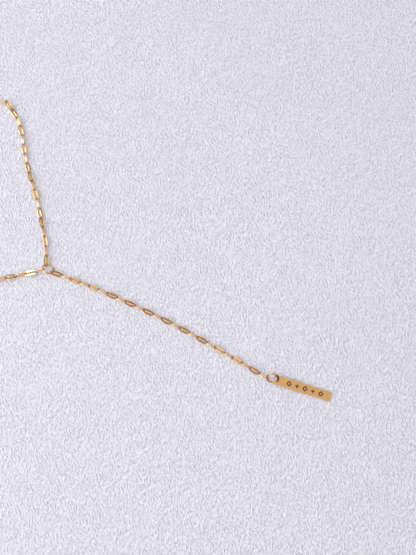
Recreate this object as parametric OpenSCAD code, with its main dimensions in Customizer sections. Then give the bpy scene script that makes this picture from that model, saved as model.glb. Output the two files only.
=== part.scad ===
// A Y necklace lying on a flat surface: a neck loop of flattened links, a drop and a bar.

/* [Chain] */
// Length of one link, outside
link_length = 4.11; // [3.8:0.01:4.5]
// Width of one link across its two lobes
link_width = 2; // [1.7:0.05:2.3]
// Thickness of the flattened link
link_thick = 0.26; // [0.22:0.01:0.3]
// Width of the bend at each end of a link
link_bend = 0.32; // [0.26:0.01:0.36]
// Width of the slot along the middle of a link
slot_middle = 0.4; // [0.36:0.01:0.6]
// Clearance round the wire that sits in the end of a link
hook_clear = 0.18; // [0.17:0.01:0.2]
// Number of links in the drop
drop_links = 24; // [10:1:30]

/* [Jump rings] */
// Outer diameter of a jump ring
ring_outer = 4.1; // [3.8:0.05:4.6]
// Diameter of the wire of a jump ring
ring_wire = 0.5; // [0.44:0.01:0.52]

/* [Bar] */
// Length of the bar
bar_length = 18.6; // [14:0.1:30]
// Width of the bar
bar_width = 3; // [2.6:0.1:5]
// Thickness of the bar
bar_thick = 0.5; // [0.45:0.05:0.6]
// Radius of the corners of the bar
bar_corner = 0.22; // [0.1:0.02:0.5]
// Diameter of the hole for the ring
bar_hole = 1.5; // [1.45:0.05:1.8]
// Metal between the hole and the end of the bar
bar_hole_rim = 0.25; // [0.2:0.01:0.4]

/* [Engraving] */
// Depth of the engraved row
mark_depth = 0.12; // [0.05:0.01:0.25]
// Height of one engraved figure, across the bar
mark_height = 1.9; // [1.2:0.1:2.2]
// Width of one engraved figure, along the bar
mark_width = 1.8; // [0.8:0.1:2]
// Width of an engraved line
mark_line = 0.32; // [0.15:0.01:0.4]
// Waist of the arms of an engraved star
mark_waist = 0.5; // [0.3:0.02:0.6]
// Distance from one engraved figure to the next
mark_step = 2.6; // [2.2:0.1:3]
// Number of engraved figures
mark_count = 5; // [1:1:5]

/* [Clasp] */
// Outer diameter of the ring clasp
clasp_outer = 6.8; // [6.2:0.1:7.6]
// Diameter of the tube of the ring clasp
clasp_tube = 1; // [0.8:0.05:1.2]
// Outer diameter of the eye of the clasp
eye_outer = 2.4; // [2.2:0.05:3]
// Length of the thumb piece of the clasp
thumb_length = 0.9; // [0.5:0.1:1.4]
// Diameter of the thumb piece of the clasp
thumb_wire = 0.6; // [0.4:0.05:0.8]

/* [Hidden] */

// The inner diamond of an engraved outline is smaller by this
mark_inset = 3 * mark_line;

gold = [0.83, 0.62, 0.33];
satin_gold = [0.80, 0.62, 0.33];
up = [0, 0, 1];
arc_steps = 48;
big_arc_steps = 160;

// A link: its round slot ends, the way from its middle to them, and its pitch in a pulled chain
slot_end = ring_wire + 2 * hook_clear;
slot_reach = (link_length - slot_end) / 2 - link_bend;
bend_gap = (slot_end + link_bend) / 2;
pitch = 2 * slot_reach + bend_gap;
end_radius = slot_end / 2 + link_bend;
// The side of a link is one arc that runs smoothly into its round ends
side_radius = (pow(slot_reach, 2) + pow(link_width / 2, 2) - pow(end_radius, 2))
    / (link_width - 2 * end_radius);
side_offset = side_radius - link_width / 2;
side_reach = slot_reach * (1 + end_radius / (side_radius - end_radius));

ring_radius = (ring_outer - ring_wire) / 2;

// Where the Y ring lies: it leans, and three links hang in it
y_lean_heading = -42;
y_lean = -37;
y_floor_gap = 0.03;
y_hook_right = 152;
y_hook_left = 242;
y_hook_drop = 12;

// Where the pendant ring lies, and the place of the bar's end beside it
p_lean_heading = 348;
p_lean = 48;
p_hook = 190.3;
p_floor_gap = 0.05;
bar_end_from_ring = [0.43, -0.26];
bar_heading = -17.4;
bar_lean = 3.4;

// Routes of the chains on the surface, from the middle of the Y ring, chosen for a pitch of 3.21
chosen_pitch = 3.21;
drop_route = [[13, -5.3], [28, -11.9], [42, -18.8], [56, -26.8], [69.6, -34.9], [95, -50]];
right_route = [[-0.9, 6.8], [-2.7, 16.4], [-5.1, 26.1], [-8, 35.5], [-9.7, 45], [-11.8, 51.2],
    [-15.2, 56.6]];
right_route_hidden = [[-15.2, 56.6], [-24, 57.4], [-48, 62], [-78, 65.5], [-108, 62], [-136, 48],
    [-154, 28], [-158, 14], [-158, 0]];
left_route = [[-6.7, -1.4], [-10, -2.1], [-13.3, -2.8], [-26, -6.5], [-48, -17], [-76, -28],
    [-104, -31.5], [-132, -26], [-151.5, -12], [-158, 3], [-158, 18]];

// Turn of the odd links about the chain: [link, degrees]. The even links stand a quarter turn on
drop_turns = [[1, 35], [4, 29], [8, 36], [17, 34], [20, 28], [24, 35]];
right_turns = [[1, -35], [2, -19], [3, -5], [8, -90], [11, -142], [12, -158], [15, -165], [17, -147],
    [18, -138], [19, -126], [21, -135], [60, -135], [68, -180]];
left_turns = [[1, -90], [2, -86], [4, -62], [6, -62], [12, -45], [60, -45]];
// Lift of the joints after a link, for the sharp bend of the right chain: [link, lift]
right_lifts = [[17, 0], [18, 0.43], [19, 0]];
no_lifts = [[0, 0]];

function unit(v) = v / norm(v);
function laid(v, normal) = unit(v - (v * normal) * normal);
function turned(v, axis, angle) =
    v * cos(angle) + cross(axis, v) * sin(angle) + axis * (axis * v) * (1 - cos(angle));
function heading(angle) = [cos(angle), sin(angle), 0];

// A ring that leans about a level axis: its normal, and the points of its wire
function ring_normal(axis_heading, lean) = turned(up, heading(axis_heading), lean);
function ring_way(axis_heading, lean, angle) =
    let (axis = heading(axis_heading))
    cos(angle) * axis + sin(angle) * cross(ring_normal(axis_heading, lean), axis);

// A route as a smooth curve through its points, and the way along it
route_steps = 8;
function curve_point(a, b, c, d, t) =
    0.5 * (2 * b + (c - a) * t + (2 * a - 5 * b + 4 * c - d) * t * t
        + (3 * b - a - 3 * c + d) * t * t * t);
function curve(points) =
    let (last = len(points) - 1)
    [for (i = [0:last - 1], j = [0:route_steps - 1])
        curve_point(points[max(i - 1, 0)], points[i], points[i + 1], points[min(i + 2, last)],
            j / route_steps)];
function ended(points) = concat(curve(points), [points[len(points) - 1]]);
function way_along(points) =
    [for (i = 0, s = 0; i < len(points);
        s = s + (i + 1 < len(points) ? norm(points[i + 1] - points[i]) : 0), i = i + 1) s];
function scaled_route(points) = points * (pitch / chosen_pitch);

// Height of a chain's middle over the surface, where a link turned so rests on its edge
chain_floor_gap = 0.02;
function rest_height(turn) =
    chain_floor_gap + link_width / 2 * abs(sin(turn)) + link_thick / 2 * abs(cos(turn));
function link_turn(turns, k) = lookup(k, turns) + (k % 2 == 0 ? 90 : 0);
function joint_height(turns, k) = max(rest_height(link_turn(turns, k)), rest_height(link_turn(turns, k + 1)));

// A link is [middle, direction, normal, front end of its slot]
function link_at(rear, direction, turn) =
    let (level = laid(up, direction))
    [rear + slot_reach * direction, direction, turned(level, direction, turn),
        rear + 2 * slot_reach * direction];
function link_after(before, goal, turn) =
    let (direction = unit(goal - before[3]))
    link_at(before[3] + bend_gap * laid(direction, before[2]), direction, turn);

// All links of a chain that starts on a hook point and follows a route
function chain(hook, points, turns, lifts, count, end_height) =
    let (
        way = way_along(points),
        xs = [for (i = [0:len(points) - 1]) [way[i], points[i].x]],
        ys = [for (i = [0:len(points) - 1]) [way[i], points[i].y]],
        goal = function(k)
            let (s = 2 * slot_reach + (k - 1) * pitch)
            [lookup(s, xs), lookup(s, ys),
                k == count ? end_height : joint_height(turns, k) + lookup(k, lifts)]
    )
    [for (k = 1, link = link_at(hook, unit(goal(1) - hook), link_turn(turns, 1));
        k <= count;
        k = k + 1,
        link = k <= count ? link_after(link, goal(k), link_turn(turns, k)) : link) link];

y_middle = [0, 0, ring_wire / 2 + y_floor_gap + ring_radius * abs(sin(y_lean))];
function y_hook(angle) = y_middle + ring_radius * ring_way(y_lean_heading, y_lean, angle);
function flat(v) = [v.x, v.y];
function from_hook(hook, route) = concat([flat(hook)], scaled_route(route));

// The neck chains end at the clasp, on the far side of the loop
right_seen = curve(from_hook(y_hook(y_hook_right), right_route));
right_points = concat(right_seen, ended(scaled_route(right_route_hidden)));
left_points = ended(from_hook(y_hook(y_hook_left), left_route));
drop_points = ended(from_hook(y_hook(y_hook_drop), drop_route));
right_links = 68;
left_links = 58;
clasp_height = link_width / 2;
end_lean = 40;
end_height = 1.5;

right_hook = y_hook(y_hook_right);
left_hook = y_hook(y_hook_left);
drop_hook = y_hook(y_hook_drop);
p_height = ring_wire / 2 + p_floor_gap + ring_radius * sin(p_lean);
p_hook_height = p_height + ring_radius * ring_way(p_lean_heading, p_lean, p_hook).z;
right_chain = chain(right_hook, right_points, right_turns, right_lifts, right_links, clasp_height);
left_chain = chain(left_hook, left_points, left_turns, no_lifts, left_links, end_height);
drop = chain(drop_hook, drop_points, drop_turns, no_lifts, drop_links, p_hook_height);
right_end = right_chain[right_links - 1][3];
left_end = left_chain[left_links - 1][3];
drop_end = drop[drop_links - 1][3];

// The pendant ring hangs in the last link of the drop, and the bar lies under it
p_middle = drop_end - ring_radius * ring_way(p_lean_heading, p_lean, p_hook);
bar_end = flat(p_middle) + bar_end_from_ring;
bar_hole_x = bar_hole_rim + bar_hole / 2;

// The clasp lies along the line between the two chain ends, and its far side is raised a little
clasp_level = laid(left_end - right_end, up);
clasp_rise = 2.8;
clasp_way = cos(clasp_rise) * clasp_level + sin(clasp_rise) * up;
clasp_normal = cos(clasp_rise) * up - sin(clasp_rise) * clasp_level;
eye_radius = (eye_outer - ring_wire) / 2;
clasp_radius = (clasp_outer - clasp_tube) / 2;
eye_middle = right_end + eye_radius * clasp_way;
clasp_middle = eye_middle + (eye_radius + clasp_radius) * clasp_way;
end_middle = left_end - ring_radius * clasp_level;

// The origin is the middle of the whole necklace on the surface
all_links = concat(right_chain, left_chain, drop);
function link_reach(link, axis) =
    let (
        along = abs(link[1] * axis),
        across = abs(cross(link[2], link[1]) * axis),
        slant = norm([along, across]),
        on_side = across * slot_reach > along * side_offset
    )
    link_thick / 2 * abs(link[2] * axis)
        + (on_side ? slant * side_radius - side_offset * across : slot_reach * along + end_radius * slant);
function farthest(axis) =
    max([for (link = all_links) link[0] * axis + link_reach(link, axis)]);
function bar_farthest(axis) =
    let (along = heading(bar_heading) * axis, across = heading(bar_heading + 90) * axis)
    [bar_end.x, bar_end.y, 0] * axis + bar_corner + (bar_length - bar_corner) * along
        + (bar_width / 2 - bar_corner) * abs(across);
x_far = max(farthest([1, 0, 0]), bar_farthest([1, 0, 0]));
x_near = max(farthest([-1, 0, 0]), clasp_outer / 2 - clasp_middle.x);
y_far = farthest([0, 1, 0]);
y_near = max(farthest([0, -1, 0]), bar_farthest([0, -1, 0]));
origin = [(x_far - x_near) / 2, (y_far - y_near) / 2, -farthest([0, 0, -1])];

module placed(point, direction, normal) {
    side = cross(normal, direction);
    multmatrix([
        [direction.x, side.x, normal.x, point.x],
        [direction.y, side.y, normal.y, point.y],
        [direction.z, side.z, normal.z, point.z],
        [0, 0, 0, 1]
    ]) children();
}

module wire_ring(radius, wire) {
    rotate_extrude($fn = big_arc_steps / 2) translate([radius, 0]) circle(d = wire, $fn = arc_steps / 2);
}

module side_lens() {
    intersection() {
        translate([0, -side_offset]) circle(side_radius, $fn = big_arc_steps);
        translate([0, side_offset]) circle(side_radius, $fn = big_arc_steps);
        square([2 * side_reach, 2 * link_width], center = true);
    }
}

module link_shape() {
    linear_extrude(link_thick, center = true) difference() {
        union() {
            side_lens();
            for (end = [-1, 1]) translate([end * slot_reach, 0]) circle(end_radius, $fn = arc_steps);
        }
        square([2 * slot_reach, slot_middle], center = true);
        for (end = [-1, 1]) translate([end * slot_reach, 0]) circle(d = slot_end, $fn = arc_steps);
    }
}

module links(chain_links) {
    for (link = chain_links) placed(link[0], link[1], link[2]) link_shape();
}

module centred() {
    translate(-origin) children();
}

module right_neck_chain() { color(gold) centred() links(right_chain); }

module left_neck_chain() { color(gold) centred() links(left_chain); }

module drop_chain() { color(gold) centred() links(drop); }

module y_ring() {
    color(gold) centred()
        placed(y_middle, heading(y_lean_heading), ring_normal(y_lean_heading, y_lean))
            wire_ring(ring_radius, ring_wire);
}

module pendant_ring() {
    color(gold) centred()
        placed(p_middle, heading(p_lean_heading), ring_normal(p_lean_heading, p_lean))
            wire_ring(ring_radius, ring_wire);
}

module diamond(width, height) {
    polygon([[-width / 2, 0], [0, -height / 2], [width / 2, 0], [0, height / 2]]);
}

module engraved_row() {
    row_middle = (bar_length + bar_hole_x + bar_hole / 2) / 2;
    row_start = row_middle - (mark_count - 1) * mark_step / 2;
    for (i = [0:mark_count - 1]) translate([row_start + i * mark_step, 0])
        if (i % 2 == 0)
            difference() {
                diamond(mark_width, mark_height);
                diamond(mark_width - mark_inset, mark_height - mark_inset);
            }
        else
            union() {
                diamond(mark_waist, mark_height);
                diamond(mark_width, mark_waist);
            }
}

module bar_plan() {
    translate([0, -bar_width / 2]) {
        translate([bar_corner, 0]) square([bar_length - 2 * bar_corner, bar_width]);
        translate([0, bar_corner]) square([bar_length, bar_width - 2 * bar_corner]);
        for (x = [bar_corner, bar_length - bar_corner], y = [bar_corner, bar_width - bar_corner])
            translate([x, y]) circle(bar_corner, $fn = arc_steps / 2);
    }
}

module bar_pendant() {
    color(satin_gold) centred()
        translate([bar_end.x, bar_end.y, bar_length * sin(bar_lean)])
            rotate([0, bar_lean, bar_heading])
                difference() {
                    linear_extrude(bar_thick) bar_plan();
                    translate([bar_hole_x, 0, -bar_thick])
                        cylinder(d = bar_hole, h = 3 * bar_thick, $fn = arc_steps);
                    translate([0, 0, bar_thick - mark_depth]) linear_extrude(2 * mark_depth) engraved_row();
                }
}

module clasp() {
    color(gold) centred() {
        placed(clasp_middle, clasp_way, clasp_normal) {
            wire_ring(clasp_radius, clasp_tube);
            translate([0, clasp_radius, 0]) rotate([-90, 0, 0]) cylinder(
                d = thumb_wire, h = clasp_tube / 2 + thumb_length, $fn = arc_steps / 2);
        }
        placed(eye_middle, clasp_way, clasp_normal) wire_ring(eye_radius, ring_wire);
    }
}

module end_ring() {
    color(gold) centred()
        placed(end_middle, clasp_level, turned(up, clasp_level, end_lean))
            wire_ring(ring_radius, ring_wire);
}

right_neck_chain();
left_neck_chain();
drop_chain();
y_ring();
pendant_ring();
bar_pendant();
clasp();
end_ring();
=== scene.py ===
import math

import bmesh
import bpy
import numpy as np
from mathutils import Matrix, Vector


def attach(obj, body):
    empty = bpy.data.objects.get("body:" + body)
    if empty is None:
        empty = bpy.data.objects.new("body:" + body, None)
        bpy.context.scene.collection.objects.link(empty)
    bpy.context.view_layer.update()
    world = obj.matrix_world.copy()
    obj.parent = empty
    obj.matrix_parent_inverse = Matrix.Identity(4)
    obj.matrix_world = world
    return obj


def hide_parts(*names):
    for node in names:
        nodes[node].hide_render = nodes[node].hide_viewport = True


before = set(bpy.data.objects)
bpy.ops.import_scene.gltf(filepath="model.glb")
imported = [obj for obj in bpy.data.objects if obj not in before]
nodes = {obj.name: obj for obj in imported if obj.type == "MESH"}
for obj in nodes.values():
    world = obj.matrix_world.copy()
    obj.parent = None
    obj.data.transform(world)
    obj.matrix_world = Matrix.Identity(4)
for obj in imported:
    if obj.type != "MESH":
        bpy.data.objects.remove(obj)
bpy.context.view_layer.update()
mm = 0.001  # in metres
print("frame loaded with", len(nodes), "nodes")


# The camera looks down at the necklace as the photo does. Here and below, sizes and places are in
# millimetres and angles in degrees, and the scale of a noise is per metre.
shot = {
    "target": (86.44, -14.39, 0.0),
    "elevation": 78,
    "distance": 400,
    "clipStart": 10,
    "focalPixels": 1250,
    "imageWidth": 416,
    "sensorWidth": 36,
}


def addCamera():
    lens = bpy.data.cameras.new("camera")
    lens.sensor_fit = "HORIZONTAL"
    lens.sensor_width = shot["sensorWidth"]
    lens.lens = shot["focalPixels"] * shot["sensorWidth"] / shot["imageWidth"]
    lens.clip_start = shot["clipStart"] * mm
    camera = bpy.data.objects.new("camera", lens)
    bpy.context.scene.collection.objects.link(camera)
    angle = math.radians(shot["elevation"])
    back = Vector((0, -math.cos(angle), math.sin(angle)))
    camera.location = (Vector(shot["target"]) + back * shot["distance"]) * mm
    camera.rotation_euler = back.to_track_quat("Z", "Y").to_euler()
    bpy.context.scene.camera = camera


addCamera()
print("camera placed")


# One socket of a shader, so that maths on it reads as an expression
class Value:
    def __init__(self, paint, socket):
        self.paint = paint
        self.socket = socket

    def maths(self, operation, *others, clamp=False):
        settings = {"operation": operation, "use_clamp": clamp}
        return self.paint.node("ShaderNodeMath", settings, dict(enumerate((self,) + others)))

    def __add__(self, other):
        return self.maths("ADD", other)

    def __sub__(self, other):
        return self.maths("SUBTRACT", other)

    def __rsub__(self, other):
        return self.maths("MULTIPLY", -1.0).maths("ADD", other)

    def __mul__(self, other):
        return self.maths("MULTIPLY", other)

    def __abs__(self):
        return self.maths("ABSOLUTE")

    def held(self):
        return self.maths("ADD", 0.0, clamp=True)

    __radd__ = __add__
    __rmul__ = __mul__


# A material or a world in the making. Every node comes from node().
class Paint:
    def __init__(self, made):
        made.use_nodes = True
        self.made = made
        self.tree = made.node_tree

    def node(self, kind, settings=None, inputs=None, output=0):
        made = self.tree.nodes.new(kind)
        for name, value in (settings or {}).items():
            setattr(made, name, value)
        for name, value in (inputs or {}).items():
            self.feed(made.inputs[name], value)
        return Value(self, made.outputs[output])

    def feed(self, socket, value):
        if isinstance(value, Value):
            self.tree.links.new(value.socket, socket)
        else:
            socket.default_value = value

    def finish(self, shader="Principled BSDF", **values):
        for name, value in values.items():
            self.feed(self.tree.nodes[shader].inputs[name.replace("_", " ")], value)
        return self.made

    def place(self, at=(0, 0, 0), turn=(0, 0, 0), size=(1, 1, 1)):
        coordinates = self.node("ShaderNodeTexCoord", output="Object")
        inputs = {"Vector": coordinates, "Location": at, "Rotation": turn, "Scale": size}
        return self.node("ShaderNodeMapping", {"vector_type": "TEXTURE"}, inputs)

    def parts(self, where):
        axes = ("X", "Y", "Z")
        return [self.node("ShaderNodeSeparateXYZ", {}, {"Vector": where}, axis) for axis in axes]

    def noise(self, where, scale, detail, roughness):
        inputs = {"Vector": where, "Scale": scale, "Detail": detail, "Roughness": roughness}
        return self.node("ShaderNodeTexNoise", {}, inputs, "Fac")

    def blend(self, amount, first, second):
        inputs = {"Factor": amount, 6: first, 7: second}
        return self.node("ShaderNodeMix", {"data_type": "RGBA"}, inputs, 2)

    def step(self, value, low, high):
        inputs = {"Value": value, "From Min": low, "From Max": high}
        return self.node("ShaderNodeMapRange", {"interpolation_type": "SMOOTHSTEP"}, inputs)

    def bump(self, height, strength, distance):
        inputs = {"Height": height, "Strength": strength, "Distance": distance}
        return self.node("ShaderNodeBump", {}, inputs)


# The linear colour of a screen's red, green and blue
def screenColour(red, green, blue):
    def linear(level):
        return level / 12.92 if level <= 0.04045 else ((level + 0.055) / 1.055) ** 2.4

    return tuple(linear(level / 255) for level in (red, green, blue)) + (1.0,)


# Polished gold has faint hairlines and patches. The links change in tone from one to the next and have
# painted shade at their bends, where they hook into one another, and the rings have painted shade on one
# side.
polish = {
    "hairlines": {"scale": 5200, "detail": 2.0, "roughness": 0.7},
    "hairlineDepth": 0.02,
    "hairlineStrength": 0.12,
    "hairlineRough": 0.10,
    "patches": {"scale": 900, "detail": 3.0, "roughness": 0.6},
    "patchRough": 0.06,
    "patchTone": 0.6,
    "linkTone": 0.5,
    "shadeShare": 0.92,
}

# Where a gold has a second, dark colour, it is painted shade: at the links' bends and on the rings' side
# away from the light.
golds = {
    "chainGold": {
        "light": (1.0, 0.735, 0.42, 1),
        "deep": (0.98, 0.58, 0.21, 1),
        "roughness": 0.12,
        "toneName": "tone",
        "paintedShade": (0.30, 0.055, 0.0, 1),
        "shadeName": "bent",
    },
    # The pendant ring's gold is a darker copy of the other rings' gold: painted shade.
    "shadedRingGold": {
        "light": (0.86, 0.52, 0.27, 1),
        "deep": (0.74, 0.36, 0.14, 1),
        "roughness": 0.16,
        "paintedShade": (0.10, 0.02, 0.02, 1),
        "shadeName": "paintedShade",
    },
    "yRingGold": {
        "light": (0.96, 0.66, 0.36, 1),
        "deep": (0.86, 0.48, 0.19, 1),
        "roughness": 0.14,
        "paintedShade": (0.10, 0.02, 0.02, 1),
        "shadeName": "paintedShade",
    },
    "claspGold": {
        "light": (1.0, 0.73, 0.42, 1),
        "deep": (0.98, 0.57, 0.24, 1),
        "roughness": 0.15,
    },
}


def polishedGold(name, light, deep, roughness, toneName=None, paintedShade=None, shadeName=None):
    paint = Paint(bpy.data.materials.new(name))
    where = paint.place()
    patches = paint.noise(where, **polish["patches"])
    fine = paint.noise(where, **polish["hairlines"])
    tone = patches
    if toneName:
        own = paint.node("ShaderNodeAttribute", {"attribute_name": toneName}, output="Fac")
        tone = patches * polish["patchTone"] + own * polish["linkTone"]
    colour = paint.blend(tone.held(), light, deep)
    if shadeName:
        # Painted shade: the named attribute darkens the gold towards its shade colour.
        amount = paint.node("ShaderNodeAttribute", {"attribute_name": shadeName}, output="Fac")
        colour = paint.blend(amount * polish["shadeShare"], colour, paintedShade)
    rough = fine * polish["hairlineRough"] + patches * polish["patchRough"]
    usual = (polish["hairlineRough"] + polish["patchRough"]) / 2  # both noises are a half on average
    return paint.finish(
        Base_Color=colour,
        Metallic=1.0,
        Roughness=rough + (roughness - usual),
        Normal=paint.bump(fine, polish["hairlineStrength"], polish["hairlineDepth"] * mm),
    )


polished = {name: polishedGold(name, **gold) for name, gold in golds.items()}
print("polished golds made")


# A closed surface's middle, its longest way and its normal, from its triangles' second moments
def surfaceAxes(points, triangles):
    a, b, c = (points[triangles[:, i]] for i in range(3))
    area = np.linalg.norm(np.cross(b - a, c - a), axis=1) / 2
    centre = (a + b + c) / 3
    middle = (area[:, None] * centre).sum(0) / area.sum()
    spread = np.zeros((3, 3))
    for corner, share in ((a, 1), (b, 1), (c, 1), (centre, 9)):
        away = corner - middle
        spread += share * np.einsum("n,ni,nj->ij", area / 12, away, away)
    axes = np.linalg.eigh(spread)[1]
    normal, way = axes[:, 0], axes[:, 2]
    normal = normal * (1 if normal[2] > 0 else -1)
    way = way * (1 if way[0] > 0 else -1)
    return middle, way, normal


# A node's points and triangles, with the points that lie together made one
sameWithin = 0.0001  # in millimetres


def readNode(name):
    mesh = nodes[name].data
    mesh.calc_loop_triangles()
    points = np.zeros(len(mesh.vertices) * 3)
    mesh.vertices.foreach_get("co", points)
    triangles = np.zeros(len(mesh.loop_triangles) * 3, int)
    mesh.loop_triangles.foreach_get("vertices", triangles)
    points = points.reshape(-1, 3)
    grid = np.round(points / (sameWithin * mm)).astype(int)
    first, place = np.unique(grid, axis=0, return_index=True, return_inverse=True)[1:]
    return points[first], place.reshape(-1)[triangles].reshape(-1, 3)


# The triangles of each loose solid of a node
def looseSolids(points, triangles):
    label = np.arange(len(points))
    while True:
        lowest = label[triangles].min(1)
        new = label.copy()
        for corner in range(3):
            np.minimum.at(new, triangles[:, corner], lowest)
        new = new[new]
        if (new == label).all():
            break
        label = new
    own = label[triangles[:, 0]]
    return [triangles[own == one] for one in np.unique(own)]


def newObject(name, mesh, material=None):
    thing = bpy.data.objects.new(name, mesh)
    bpy.context.scene.collection.objects.link(thing)
    if material:
        mesh.materials.append(material)
    return thing


def smooth(mesh):
    mesh.polygons.foreach_set("use_smooth", [True] * len(mesh.polygons))


def meshOf(name, points, faces):
    mesh = bpy.data.meshes.new(name)
    mesh.from_pydata([tuple(p) for p in points], [], faces)
    work = bmesh.new()
    work.from_mesh(mesh)
    bmesh.ops.recalc_face_normals(work, faces=work.faces)
    work.to_mesh(mesh)
    work.free()
    smooth(mesh)
    return mesh


# Sections, each a loop of as many points, joined to a closed tube or to a rod with flat ends
def joinSections(sections, closed=True):
    count, sides = len(sections), len(sections[0])
    points = [p for section in sections for p in section]
    faces = []
    for i in range(count if closed else count - 1):
        for j in range(sides):
            after, beside = (i + 1) % count, (j + 1) % sides
            corners = ((i, j), (i, beside), (after, beside), (after, j))
            faces.append(tuple(row * sides + column for row, column in corners))
    if not closed:
        faces.append(tuple(range(sides)))
        faces.append(tuple((count - 1) * sides + j for j in range(sides)))
    return points, faces


# One link: a flattened wire bent to a closed loop, with a wide lobe on each side
link = {
    "length": 4.11,
    "width": 2.0,
    "thick": 0.26,
    "bend": 0.32,
    "slot": 0.4,
    "slotEnd": 0.86,
    "bendThick": 0.28,
    "flat": 0.5,
    "rim": 0.3,
    "endStations": 7,
    "sideStations": (0.85, 0.70, 0.35, 0, -0.35, -0.70, -0.85),
}


def linkOutlines():
    slotRadius = link["slotEnd"] / 2
    endRadius = slotRadius + link["bend"]
    reach = link["length"] / 2 - endRadius
    half = link["width"] / 2
    sideRadius = (reach ** 2 + half ** 2 - endRadius ** 2) / (link["width"] - 2 * endRadius)
    rows = []
    for side in (1, -1):
        for i in range(link["endStations"]):
            angle = math.radians(-90 + 180 * i / (link["endStations"] - 1))
            along, across = math.cos(angle), math.sin(angle)
            outer = (reach + endRadius * along, endRadius * across)
            inner = (reach + slotRadius * along, slotRadius * across)
            rows.append((side, outer, inner, abs(along)))
        for share in link["sideStations"]:
            x = reach * share
            outer = (x, half - sideRadius + math.sqrt(sideRadius ** 2 - x ** 2))
            fromEnd = reach - abs(x)
            slotHalf = max(link["slot"] / 2, math.sqrt(max(0, slotRadius ** 2 - fromEnd ** 2)))
            rows.append((side, outer, (x, slotHalf), 0))
    return [((s * o[0], s * o[1]), (s * i[0], s * i[1]), bent) for s, o, i, bent in rows]


# The section is flat above and below, with a crease at each border and round rims
def linkMesh():
    flat, rim = link["flat"], link["rim"]
    side = [(flat, -1), (1, -rim), (1, rim), (flat, 1)]
    section = side + [(-across, -up) for across, up in side]
    creased = [place for place, (across, up) in enumerate(section) if abs(up) == 1]
    sections, bendShades = [], []
    for outer, inner, bent in linkOutlines():
        outer, inner = Vector(outer), Vector(inner)
        # The squared bend value marks where painted shade darkens each link at its bends.
        bendShades += [bent ** 2] * len(section)
        middle, half = (outer + inner) / 2, (outer - inner) / 2
        height = (link["thick"] + (link["bendThick"] - link["thick"]) * bent) / 2
        points = [(middle + half * across, height * up) for across, up in section]
        sections.append([(at.x * mm, at.y * mm, high * mm) for at, high in points])
    mesh = meshOf("link", *joinSections(sections))
    sharp = mesh.attributes.new("sharp_edge", "BOOLEAN", "EDGE")
    for edge in mesh.edges:
        first, second = (corner % len(section) for corner in edge.vertices)
        sharp.data[edge.index].value = first == second and first in creased
    mesh.attributes.new("bent", "FLOAT", "POINT").data.foreach_set("value", bendShades)
    return mesh


# The tree that lays links on points: each point knows its link's way and its plate's normal
rowOfLinks = {"linkSize": 1.0, "toneLow": 0.0, "toneHigh": 1.0, "toneSeed": 7}


def linkRowTree():
    tree = bpy.data.node_groups.new("rowOfLinks", "GeometryNodeTree")
    sockets = {}
    for name, kind, way in (
        ("Points", "NodeSocketGeometry", "INPUT"),
        ("Link", "NodeSocketObject", "INPUT"),
        ("Gold", "NodeSocketMaterial", "INPUT"),
        ("Link size", "NodeSocketFloat", "INPUT"),
        ("Tone low", "NodeSocketFloat", "INPUT"),
        ("Tone high", "NodeSocketFloat", "INPUT"),
        ("Tone seed", "NodeSocketInt", "INPUT"),
        ("Links", "NodeSocketGeometry", "OUTPUT"),
    ):
        sockets[name] = tree.interface.new_socket(name, in_out=way, socket_type=kind)

    def add(kind, **settings):
        made = tree.nodes.new(kind)
        for name, value in settings.items():
            setattr(made, name, value)
        return made

    start, end = add("NodeGroupInput"), add("NodeGroupOutput")
    way = add("GeometryNodeInputNamedAttribute", data_type="FLOAT_VECTOR")
    normal = add("GeometryNodeInputNamedAttribute", data_type="FLOAT_VECTOR")
    way.inputs["Name"].default_value = "way"
    normal.inputs["Name"].default_value = "plate"
    turn = add("FunctionNodeAxesToRotation", primary_axis="X", secondary_axis="Z")
    info = add("GeometryNodeObjectInfo")
    lay = add("GeometryNodeInstanceOnPoints")
    tone = add("FunctionNodeRandomValue", data_type="FLOAT")
    keep = add("GeometryNodeStoreNamedAttribute", data_type="FLOAT", domain="INSTANCE")
    keep.inputs["Name"].default_value = "tone"
    real = add("GeometryNodeRealizeInstances")
    paint = add("GeometryNodeSetMaterial")
    toneValue = [s for s in tone.outputs if s.enabled][0]
    toneLow, toneHigh = [s for s in tone.inputs if s.enabled and s.name in ("Min", "Max")]
    for source, target in (
        (way.outputs[0], turn.inputs[0]),
        (normal.outputs[0], turn.inputs[1]),
        (start.outputs["Link"], info.inputs["Object"]),
        (start.outputs["Points"], lay.inputs["Points"]),
        (info.outputs["Geometry"], lay.inputs["Instance"]),
        (turn.outputs[0], lay.inputs["Rotation"]),
        (start.outputs["Link size"], lay.inputs["Scale"]),
        (start.outputs["Tone low"], toneLow),
        (start.outputs["Tone high"], toneHigh),
        (start.outputs["Tone seed"], tone.inputs["Seed"]),
        (lay.outputs["Instances"], keep.inputs["Geometry"]),
        (toneValue, keep.inputs["Value"]),
        (keep.outputs["Geometry"], real.inputs["Geometry"]),
        (real.outputs["Geometry"], paint.inputs["Geometry"]),
        (start.outputs["Gold"], paint.inputs["Material"]),
        (paint.outputs["Geometry"], end.inputs["Links"]),
    ):
        tree.links.new(source, target)
    return tree, {name: socket.identifier for name, socket in sockets.items()}


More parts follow.
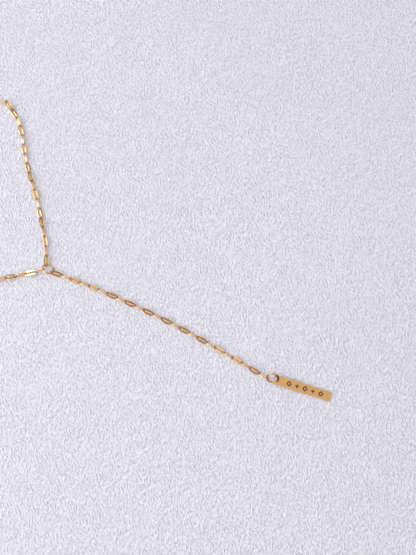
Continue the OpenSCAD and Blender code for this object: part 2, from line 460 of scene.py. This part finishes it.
def layLinks(name, node, one, tree, identifiers, seed):
    points, triangles = readNode(node)
    places = [surfaceAxes(points, solid) for solid in looseSolids(points, triangles)]
    row = bpy.data.meshes.new(name)
    row.from_pydata([tuple(middle) for middle, way, normal in places], [], [])
    for attribute, index in (("way", 1), ("plate", 2)):
        made = row.attributes.new(attribute, "FLOAT_VECTOR", "POINT")
        made.data.foreach_set("vector", np.array([place[index] for place in places]).ravel())
    thing = newObject(name, row)
    modifier = thing.modifiers.new("links", "NODES")
    modifier.node_group = tree
    for socket, value in (
        ("Link", one),
        ("Gold", polished["chainGold"]),
        ("Link size", rowOfLinks["linkSize"]),
        ("Tone low", rowOfLinks["toneLow"]),
        ("Tone high", rowOfLinks["toneHigh"]),
        ("Tone seed", seed),
    ):
        modifier[identifiers[socket]] = value
    bpy.context.view_layer.update()
    graph = bpy.context.evaluated_depsgraph_get()
    laid = bpy.data.meshes.new_from_object(thing.evaluated_get(graph), depsgraph=graph)
    thing.modifiers.clear()
    thing.data = laid
    laid.name = name
    smooth(laid)
    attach(thing, "root")
    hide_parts(node)
    print(name, "laid:", len(places), "links,", len(laid.polygons), "faces")


oneLink = newObject("oneLink", linkMesh())
linkTree, linkSockets = linkRowTree()
for place, (name, node) in enumerate((
    ("rightNeckLinks", "right_neck_chain"),
    ("leftNeckLinks", "left_neck_chain"),
    ("dropLinks", "drop_chain"),
)):
    layLinks(name, node, oneLink, linkTree, linkSockets, rowOfLinks["toneSeed"] + place)
bpy.data.objects.remove(oneLink)


# A ring of round wire, with a fine seam where its ends meet and painted shade on its side away from the
# light
ring = {
    "outer": 4.1,
    "wire": 0.5,
    "seamAt": {"y_ring": 75, "pendant_ring": 250, "end_ring": 90},
    "seamWidth": 1.2,
    "seamDepth": 0.05,
    "around": 72,
    "sides": 14,
    "shadedSide": (1.0, 0.25, 0.0),
    "shadeShare": {"y_ring": 0.3, "pendant_ring": 1.0, "end_ring": 0.3},
    "shadeFrom": 0.55,
    "shadeTo": 0.85,
}


# A groove is an angle, a width to each side and a depth. Its stations, and the part of it that is cut,
# are shares of that width.
groove = {"stations": (-1, -0.5, 0, 0.5, 1), "cut": 0.6}


def turnBetween(first, second):
    return abs((first - second + 180) % 360 - 180)


def wireLoop(radius, wire, around, sides, grooves=()):
    angles = [360 * i / around for i in range(around)]
    for at, width, depth in grooves:
        angles = [angle for angle in angles if turnBetween(angle, at) > width]
        angles += [(at + share * width) % 360 for share in groove["stations"]]
    sections = []
    for angle in sorted(angles):
        cut = 0
        for at, width, depth in grooves:
            cut = max(cut, depth * (1 - turnBetween(angle, at) / width / groove["cut"]))
        out = Vector((math.cos(math.radians(angle)), math.sin(math.radians(angle)), 0))
        half = wire / 2 - cut
        section = []
        for j in range(sides):
            turn = 2 * math.pi * j / sides
            point = out * (radius + half * math.cos(turn)) + Vector((0, 0, half * math.sin(turn)))
            section.append(point * mm)
        sections.append(section)
    return joinSections(sections)


def axesMatrix(middle, way, normal):
    side = np.cross(normal, way)
    turn = Matrix([list(row) for row in np.array([way, side, normal]).T]).to_4x4()
    return Matrix.Translation(Vector(middle)) @ turn


def addRing(name, node, gold):
    radius = (ring["outer"] - ring["wire"]) / 2
    seam = (ring["seamAt"][node], ring["seamWidth"], ring["seamDepth"])
    mesh = meshOf(name, *wireLoop(radius, ring["wire"], ring["around"], ring["sides"], [seam]))
    middle, way, normal = surfaceAxes(*readNode(node))
    level = np.cross(normal, (0, 0, 1))
    level /= np.linalg.norm(level)
    mesh.transform(axesMatrix(middle, level, normal))
    # Painted shade: each ring is darkened on its side that faces away from the key light.
    toSide = Vector(ring["shadedSide"]).normalized()
    sides = [(point.co - Vector(middle)).normalized().dot(toSide) for point in mesh.vertices]
    low, high = ring["shadeFrom"], ring["shadeTo"]
    paintedShade = [ring["shadeShare"][node] * min(1, max(0, (side - low) / (high - low))) for side in sides]
    mesh.attributes.new("paintedShade", "FLOAT", "POINT").data.foreach_set("value", paintedShade)
    thing = newObject(name, mesh, gold)
    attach(thing, "root")
    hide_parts(node)


addRing("yRing", "y_ring", polished["yRingGold"])
addRing("pendantRing", "pendant_ring", polished["shadedRingGold"])
addRing("endRing", "end_ring", polished["yRingGold"])
print("jump rings made")


# The clasp: a hollow ring with its thumb piece, and its eye with a small collar. A profile's rows are
# how far along and how wide, in the thumb's own length and radius or, for the collar, in millimetres.
clasp = {
    "outer": 6.8,
    "tube": 1.0,
    "around": 96,
    "sides": 18,
    "eyeOuter": 2.4,
    "eyeWire": 0.5,
    "eyeAround": 40,
    "eyeSides": 12,
    "thumbLength": 0.9,
    "thumbWire": 0.6,
    "thumbFoot": 0.3,
    "thumbNeck": 0.8,
    "thumbProfile": ((0.62, 0.8), (0.68, 1), (0.9, 1), (0.98, 0.8), (1, 0.3)),
    "thumbSides": 16,
    "collarSunk": 0.25,
    "collarProfile": ((0, 0.30), (0.12, 0.34), (0.3, 0.30), (0.42, 0.1)),
    "collarSides": 14,
    "boltEnds": (20, -28),
    "grooveWidth": 0.9,
    "grooveDepth": 0.05,
    "above": 0.33,
    "eyeReach": 4.5,
}


# The tube's points stand furthest off the plane, and the eye's are the furthest from the tube's middle
def claspPlace():
    points, triangles = readNode("clasp")
    middle, way, normal = surfaceAxes(points, triangles)
    tube = points[abs((points - middle) @ normal) > clasp["above"] * mm]
    centre = tube.mean(0)
    normal = np.linalg.eigh(np.cov((tube - centre).T))[1][:, 0]
    normal = normal * (1 if normal[2] > 0 else -1)
    away = points - centre
    far = np.linalg.norm(away, axis=1) > clasp["eyeReach"] * mm
    toEye = away[far].mean(0)
    toEye = toEye - normal * (toEye @ normal)
    way = -toEye / np.linalg.norm(toEye)
    return centre, way, normal


def lathe(profile, sides, start, axis):
    axis = Vector(axis).normalized()
    side = axis.orthogonal().normalized()
    other = axis.cross(side)
    sections = []
    for along, radius in profile:
        section = []
        for j in range(sides):
            turn = 2 * math.pi * j / sides
            out = side * math.cos(turn) + other * math.sin(turn)
            section.append((Vector(start) + axis * along + out * radius) * mm)
        sections.append(section)
    return joinSections(sections, closed=False)


def addClasp():
    radius = (clasp["outer"] - clasp["tube"]) / 2
    eyeRadius = (clasp["eyeOuter"] - clasp["eyeWire"]) / 2
    grooves = [(at % 360, clasp["grooveWidth"], clasp["grooveDepth"]) for at in clasp["boltEnds"]]
    body = wireLoop(radius, clasp["tube"], clasp["around"], clasp["sides"], grooves)
    points, faces = wireLoop(eyeRadius, clasp["eyeWire"], clasp["eyeAround"], clasp["eyeSides"])
    eye = ([p + Vector((-radius - eyeRadius, 0, 0)) * mm for p in points], faces)
    wide, long = clasp["thumbWire"] / 2, clasp["tube"] / 2 + clasp["thumbLength"]
    profile = [(clasp["thumbFoot"], wide * clasp["thumbNeck"])]
    profile += [(long * along, wide * share) for along, share in clasp["thumbProfile"]]
    thumb = lathe(profile, clasp["thumbSides"], (0, radius, 0), (0, 1, 0))
    foot = (-radius - clasp["collarSunk"], 0, 0)
    collar = lathe(clasp["collarProfile"], clasp["collarSides"], foot, (-1, 0, 0))
    points, faces = [], []
    for piecePoints, pieceFaces in (body, eye, thumb, collar):
        faces += [tuple(i + len(points) for i in face) for face in pieceFaces]
        points += piecePoints
    mesh = meshOf("claspRing", points, faces)
    mesh.transform(axesMatrix(*claspPlace()))
    thing = newObject("claspRing", mesh, polished["claspGold"])
    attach(thing, "root")
    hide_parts("clasp")


addClasp()
print("clasp made")


# The bar: satin gold with softened edges and a dark engraved row
bar = {
    "length": 18.6,
    "width": 3.0,
    "thick": 0.5,
    "edge": 0.05,
    "edgeSegments": 2,
    "edgeProfile": 0.5,
    "sharp": 30,
    "flatWithin": 1,
    "sameWithin": 0.0002,
    "engravingDepth": 0.12,
}

# Its satin finish: fine lines along it, patches, warmer blotches and edges worn bright. Dark ink fills
# the engraving, from shares of its depth down, and keeps clear of the bar's sides and ends.
satin = {
    "lines": {"scale": 9000, "detail": 3.0, "roughness": 0.7},
    "lineStretch": 0.12,
    "patches": {"scale": 420, "detail": 4.0, "roughness": 0.6},
    "blotches": {"scale": 700, "detail": 2.0, "roughness": 0.6},
    "blotchEdges": (0.38, 0.62),
    "gold": (0.74, 0.445, 0.124, 1),
    "warmGold": (0.78, 0.395, 0.15, 1),
    "brightGold": (0.82, 0.51, 0.228, 1),
    "wornGold": (0.83, 0.54, 0.265, 1),
    "ink": (0.11, 0.028, 0.034, 1),
    "inkDepth": (0.35, 0.85),
    "inkFloor": (1.4, 1.2),
    "inkSides": (0.2, 0.3),
    "inkStart": (2.2, 2.4),
    "inkEnd": (0.2, 0.3),
    "wornEdge": (0.16, 0.02),
    "brightPatches": 0.8,
    "brightLines": 0.3,
    "brightLess": 0.2,
    "worn": 0.5,
    "inkDull": 0.7,
    "roughness": 0.34,
    "lineRough": 0.14,
    "inkRough": 0.3,
    "wornRough": 0.06,
    "lineHeight": 0.7,
    "patchHeight": 0.5,
    "bumpStrength": 0.25,
    "bumpDepth": 0.02,
}


def barFrame():
    points, triangles = readNode("bar_pendant")
    middle, way, normal = surfaceAxes(points, triangles)
    centre = middle
    for axis in (way, np.cross(normal, way), normal):
        span = (points - middle) @ axis
        centre = centre + axis * (span.min() + span.max()) / 2
    return centre, way, normal


def satinGold(place):
    paint = Paint(bpy.data.materials.new("barGold"))
    where = paint.place(place.to_translation(), place.to_euler())
    along, across, up = paint.parts(where)
    stretch = {"Vector": where, "Scale": (satin["lineStretch"], 1, 1)}
    lines = paint.noise(paint.node("ShaderNodeMapping", {}, stretch), **satin["lines"])
    patches = paint.noise(where, **satin["patches"])
    blotches = paint.noise(where, **satin["blotches"])
    halfLength, halfWidth, halfThick = (bar[size] / 2 for size in ("length", "width", "thick"))

    def inward(half, distances, size=1):
        return [(half - distance * size) * mm for distance in distances]

    ink = paint.step(up, *inward(halfThick, satin["inkDepth"], bar["engravingDepth"]))
    ink = ink * paint.step(up, *inward(halfThick, satin["inkFloor"], bar["engravingDepth"]))
    ink = ink * paint.step(abs(across), *inward(halfWidth, satin["inkSides"]))
    ink = ink * paint.step(along, *(-at for at in inward(halfLength, satin["inkStart"])))
    ink = ink * paint.step(along, *inward(halfLength, satin["inkEnd"]))
    edge = paint.step(abs(across), *inward(halfWidth, satin["wornEdge"]))
    warm = paint.blend(paint.step(blotches, *satin["blotchEdges"]), satin["gold"], satin["warmGold"])
    bright = patches * satin["brightPatches"] + lines * satin["brightLines"] - satin["brightLess"]
    gold = paint.blend(bright.held(), warm, satin["brightGold"])
    worn = paint.blend(edge * satin["worn"], gold, satin["wornGold"])
    rough = satin["roughness"] + lines * satin["lineRough"] + ink * satin["inkRough"]
    height = lines * satin["lineHeight"] + patches * satin["patchHeight"]
    return paint.finish(
        Base_Color=paint.blend(ink, worn, satin["ink"]),
        Metallic=1.0 - ink * satin["inkDull"],
        Roughness=rough - edge * satin["wornRough"],
        Normal=paint.bump(height, satin["bumpStrength"], satin["bumpDepth"] * mm),
    )


def addBar():
    place = axesMatrix(*barFrame())
    mesh = nodes["bar_pendant"].data.copy()
    mesh.materials.clear()
    work = bmesh.new()
    work.from_mesh(mesh)
    bmesh.ops.remove_doubles(work, verts=work.verts, dist=bar["sameWithin"] * mm)
    flat = math.radians(bar["flatWithin"])
    bmesh.ops.dissolve_limit(work, angle_limit=flat, verts=work.verts, edges=work.edges)
    limit = math.radians(bar["sharp"])
    bmesh.ops.bevel(
        work,
        geom=[edge for edge in work.edges if edge.calc_face_angle(0) > limit],
        offset=bar["edge"] * mm,
        segments=bar["edgeSegments"],
        profile=bar["edgeProfile"],
        affect="EDGES",
        clamp_overlap=True,
    )
    work.to_mesh(mesh)
    work.free()
    thing = newObject("engravedBar", mesh, satinGold(place))
    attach(thing, "root")
    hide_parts("bar_pendant")
    print("bar made:", len(mesh.polygons), "faces")


addBar()


# The surface: pale paper with a fibrous, embossed grain that runs one way. A faint glow keeps its
# shadows pale.
surface = {
    "side": 16000,
    "grain": {"scale": 2050, "detail": 2.0, "roughness": 0.5},
    "grainTurn": 27,
    "grainLength": 1.9,
    "grainHeight": 1.7,
    "grainTone": 0.94,
    "cloud": {"scale": 14, "detail": 2.0, "roughness": 0.5},
    "cloudTone": 0.06,
    "toneEdges": (0.3, 0.7),
    "light": (249, 249, 255),
    "dark": (219, 219, 230),
    "glow": 0.15,
    "roughness": 0.9,
}


def paperWhite():
    paint = Paint(bpy.data.materials.new("paleSurface"))
    turn = (0, 0, math.radians(surface["grainTurn"]))
    turned = paint.place(turn=turn, size=(1, surface["grainLength"], 1))
    grain = paint.noise(turned, **surface["grain"])
    cloud = paint.noise(paint.place(), **surface["cloud"])
    tone = paint.step(grain * surface["grainTone"] + cloud * surface["cloudTone"], *surface["toneEdges"])
    colour = paint.blend(tone, screenColour(*surface["dark"]), screenColour(*surface["light"]))
    return paint.finish(
        Base_Color=colour,
        Emission_Color=colour,
        Emission_Strength=surface["glow"],
        Roughness=surface["roughness"],
        Normal=paint.bump(grain, 1.0, surface["grainHeight"] * mm),
    )


def addSurface():
    half = surface["side"] / 2 * mm
    corners = [(-half, -half, 0), (half, -half, 0), (half, half, 0), (-half, half, 0)]
    mesh = meshOf("surface", corners, [(0, 1, 2, 3)])
    newObject("surface", mesh, paperWhite())


addSurface()
print("surface made")


# Studio light: a large soft box overhead to the left, in a room with dark walls, a pale ceiling that is
# brightest on the window's side, and a small ceiling lamp. Heights on the walls are angles, and a side
# is how far a direction leans to the right or to the back.
studio = {
    "key": {"at": (-450, -90, 400), "size": 640, "power": 2.3, "colour": (0.985, 0.985, 1.0)},
    "frontWall": (0.175, 0.09, 0.04, 1),
    "backWall": (0.34, 0.28, 0.22, 1),
    "ceiling": (1.0, 1.01, 1.095, 1),
    "dimCeiling": (0.63, 0.625, 0.68, 1),
    "window": (1.56, 1.59, 1.74, 1),
    "wallFoot": 4,
    "wallMiddle": 13,
    "wallTop": 28,
    "ceilingEdge": 45,
    "frontSide": -0.45,
    "backSide": 0.1,
    "brightSide": -0.15,
    "dimSide": 0.35,
    "windowEdge": -0.3,
    "windowSide": -0.6,
    "lamp": (6.5, 6.4, 6.6, 1),
    "lampTurn": 131,
    "lampHeight": 66,
    "lampEdge": 4.4,
    "lampCore": 3.0,
}


def addSoftBox():
    plan = studio["key"]
    light = bpy.data.lights.new("key", "AREA")
    light.shape = "DISK"
    light.size = plan["size"] * mm
    light.energy = plan["power"]
    light.color = plan["colour"]
    thing = bpy.data.objects.new("key", light)
    bpy.context.scene.collection.objects.link(thing)
    away = Vector(plan["at"])
    thing.location = (Vector(shot["target"]) + away) * mm
    thing.rotation_euler = away.to_track_quat("Z", "Y").to_euler()


def addRoom():
    paint = Paint(bpy.data.worlds.new("room"))
    way = paint.node("ShaderNodeTexCoord", output="Generated")
    heights = ("wallFoot", "wallMiddle", "wallTop", "ceilingEdge")
    foot, middle, top, ceilingEdge = (math.sin(math.radians(studio[name])) for name in heights)
    x, y, z = paint.parts(way)
    dim = paint.step(x, studio["brightSide"], studio["dimSide"])
    ceiling = paint.blend(dim, studio["ceiling"], studio["dimCeiling"])
    window = paint.step(x, studio["windowEdge"], studio["windowSide"])
    ceiling = paint.blend(window, ceiling, studio["window"])
    turn, height = math.radians(studio["lampTurn"]), math.radians(studio["lampHeight"])
    toLamp = (x * math.cos(turn) + y * math.sin(turn)) * math.cos(height) + z * math.sin(height)
    outer, core = (math.cos(math.radians(studio[name])) for name in ("lampEdge", "lampCore"))
    ceiling = paint.blend(paint.step(toLamp, outer, core), ceiling, studio["lamp"])
    back = paint.step(y, studio["frontSide"], studio["backSide"]) * paint.step(z, foot, middle)
    walls = paint.blend(back, studio["frontWall"], studio["backWall"])
    colour = paint.blend(paint.step(z, top, ceilingEdge), walls, ceiling)
    bpy.context.scene.world = paint.finish("Background", Color=colour)


addRoom()
addSoftBox()
bpy.context.scene.view_settings.view_transform = "Standard"
print("room and light placed")
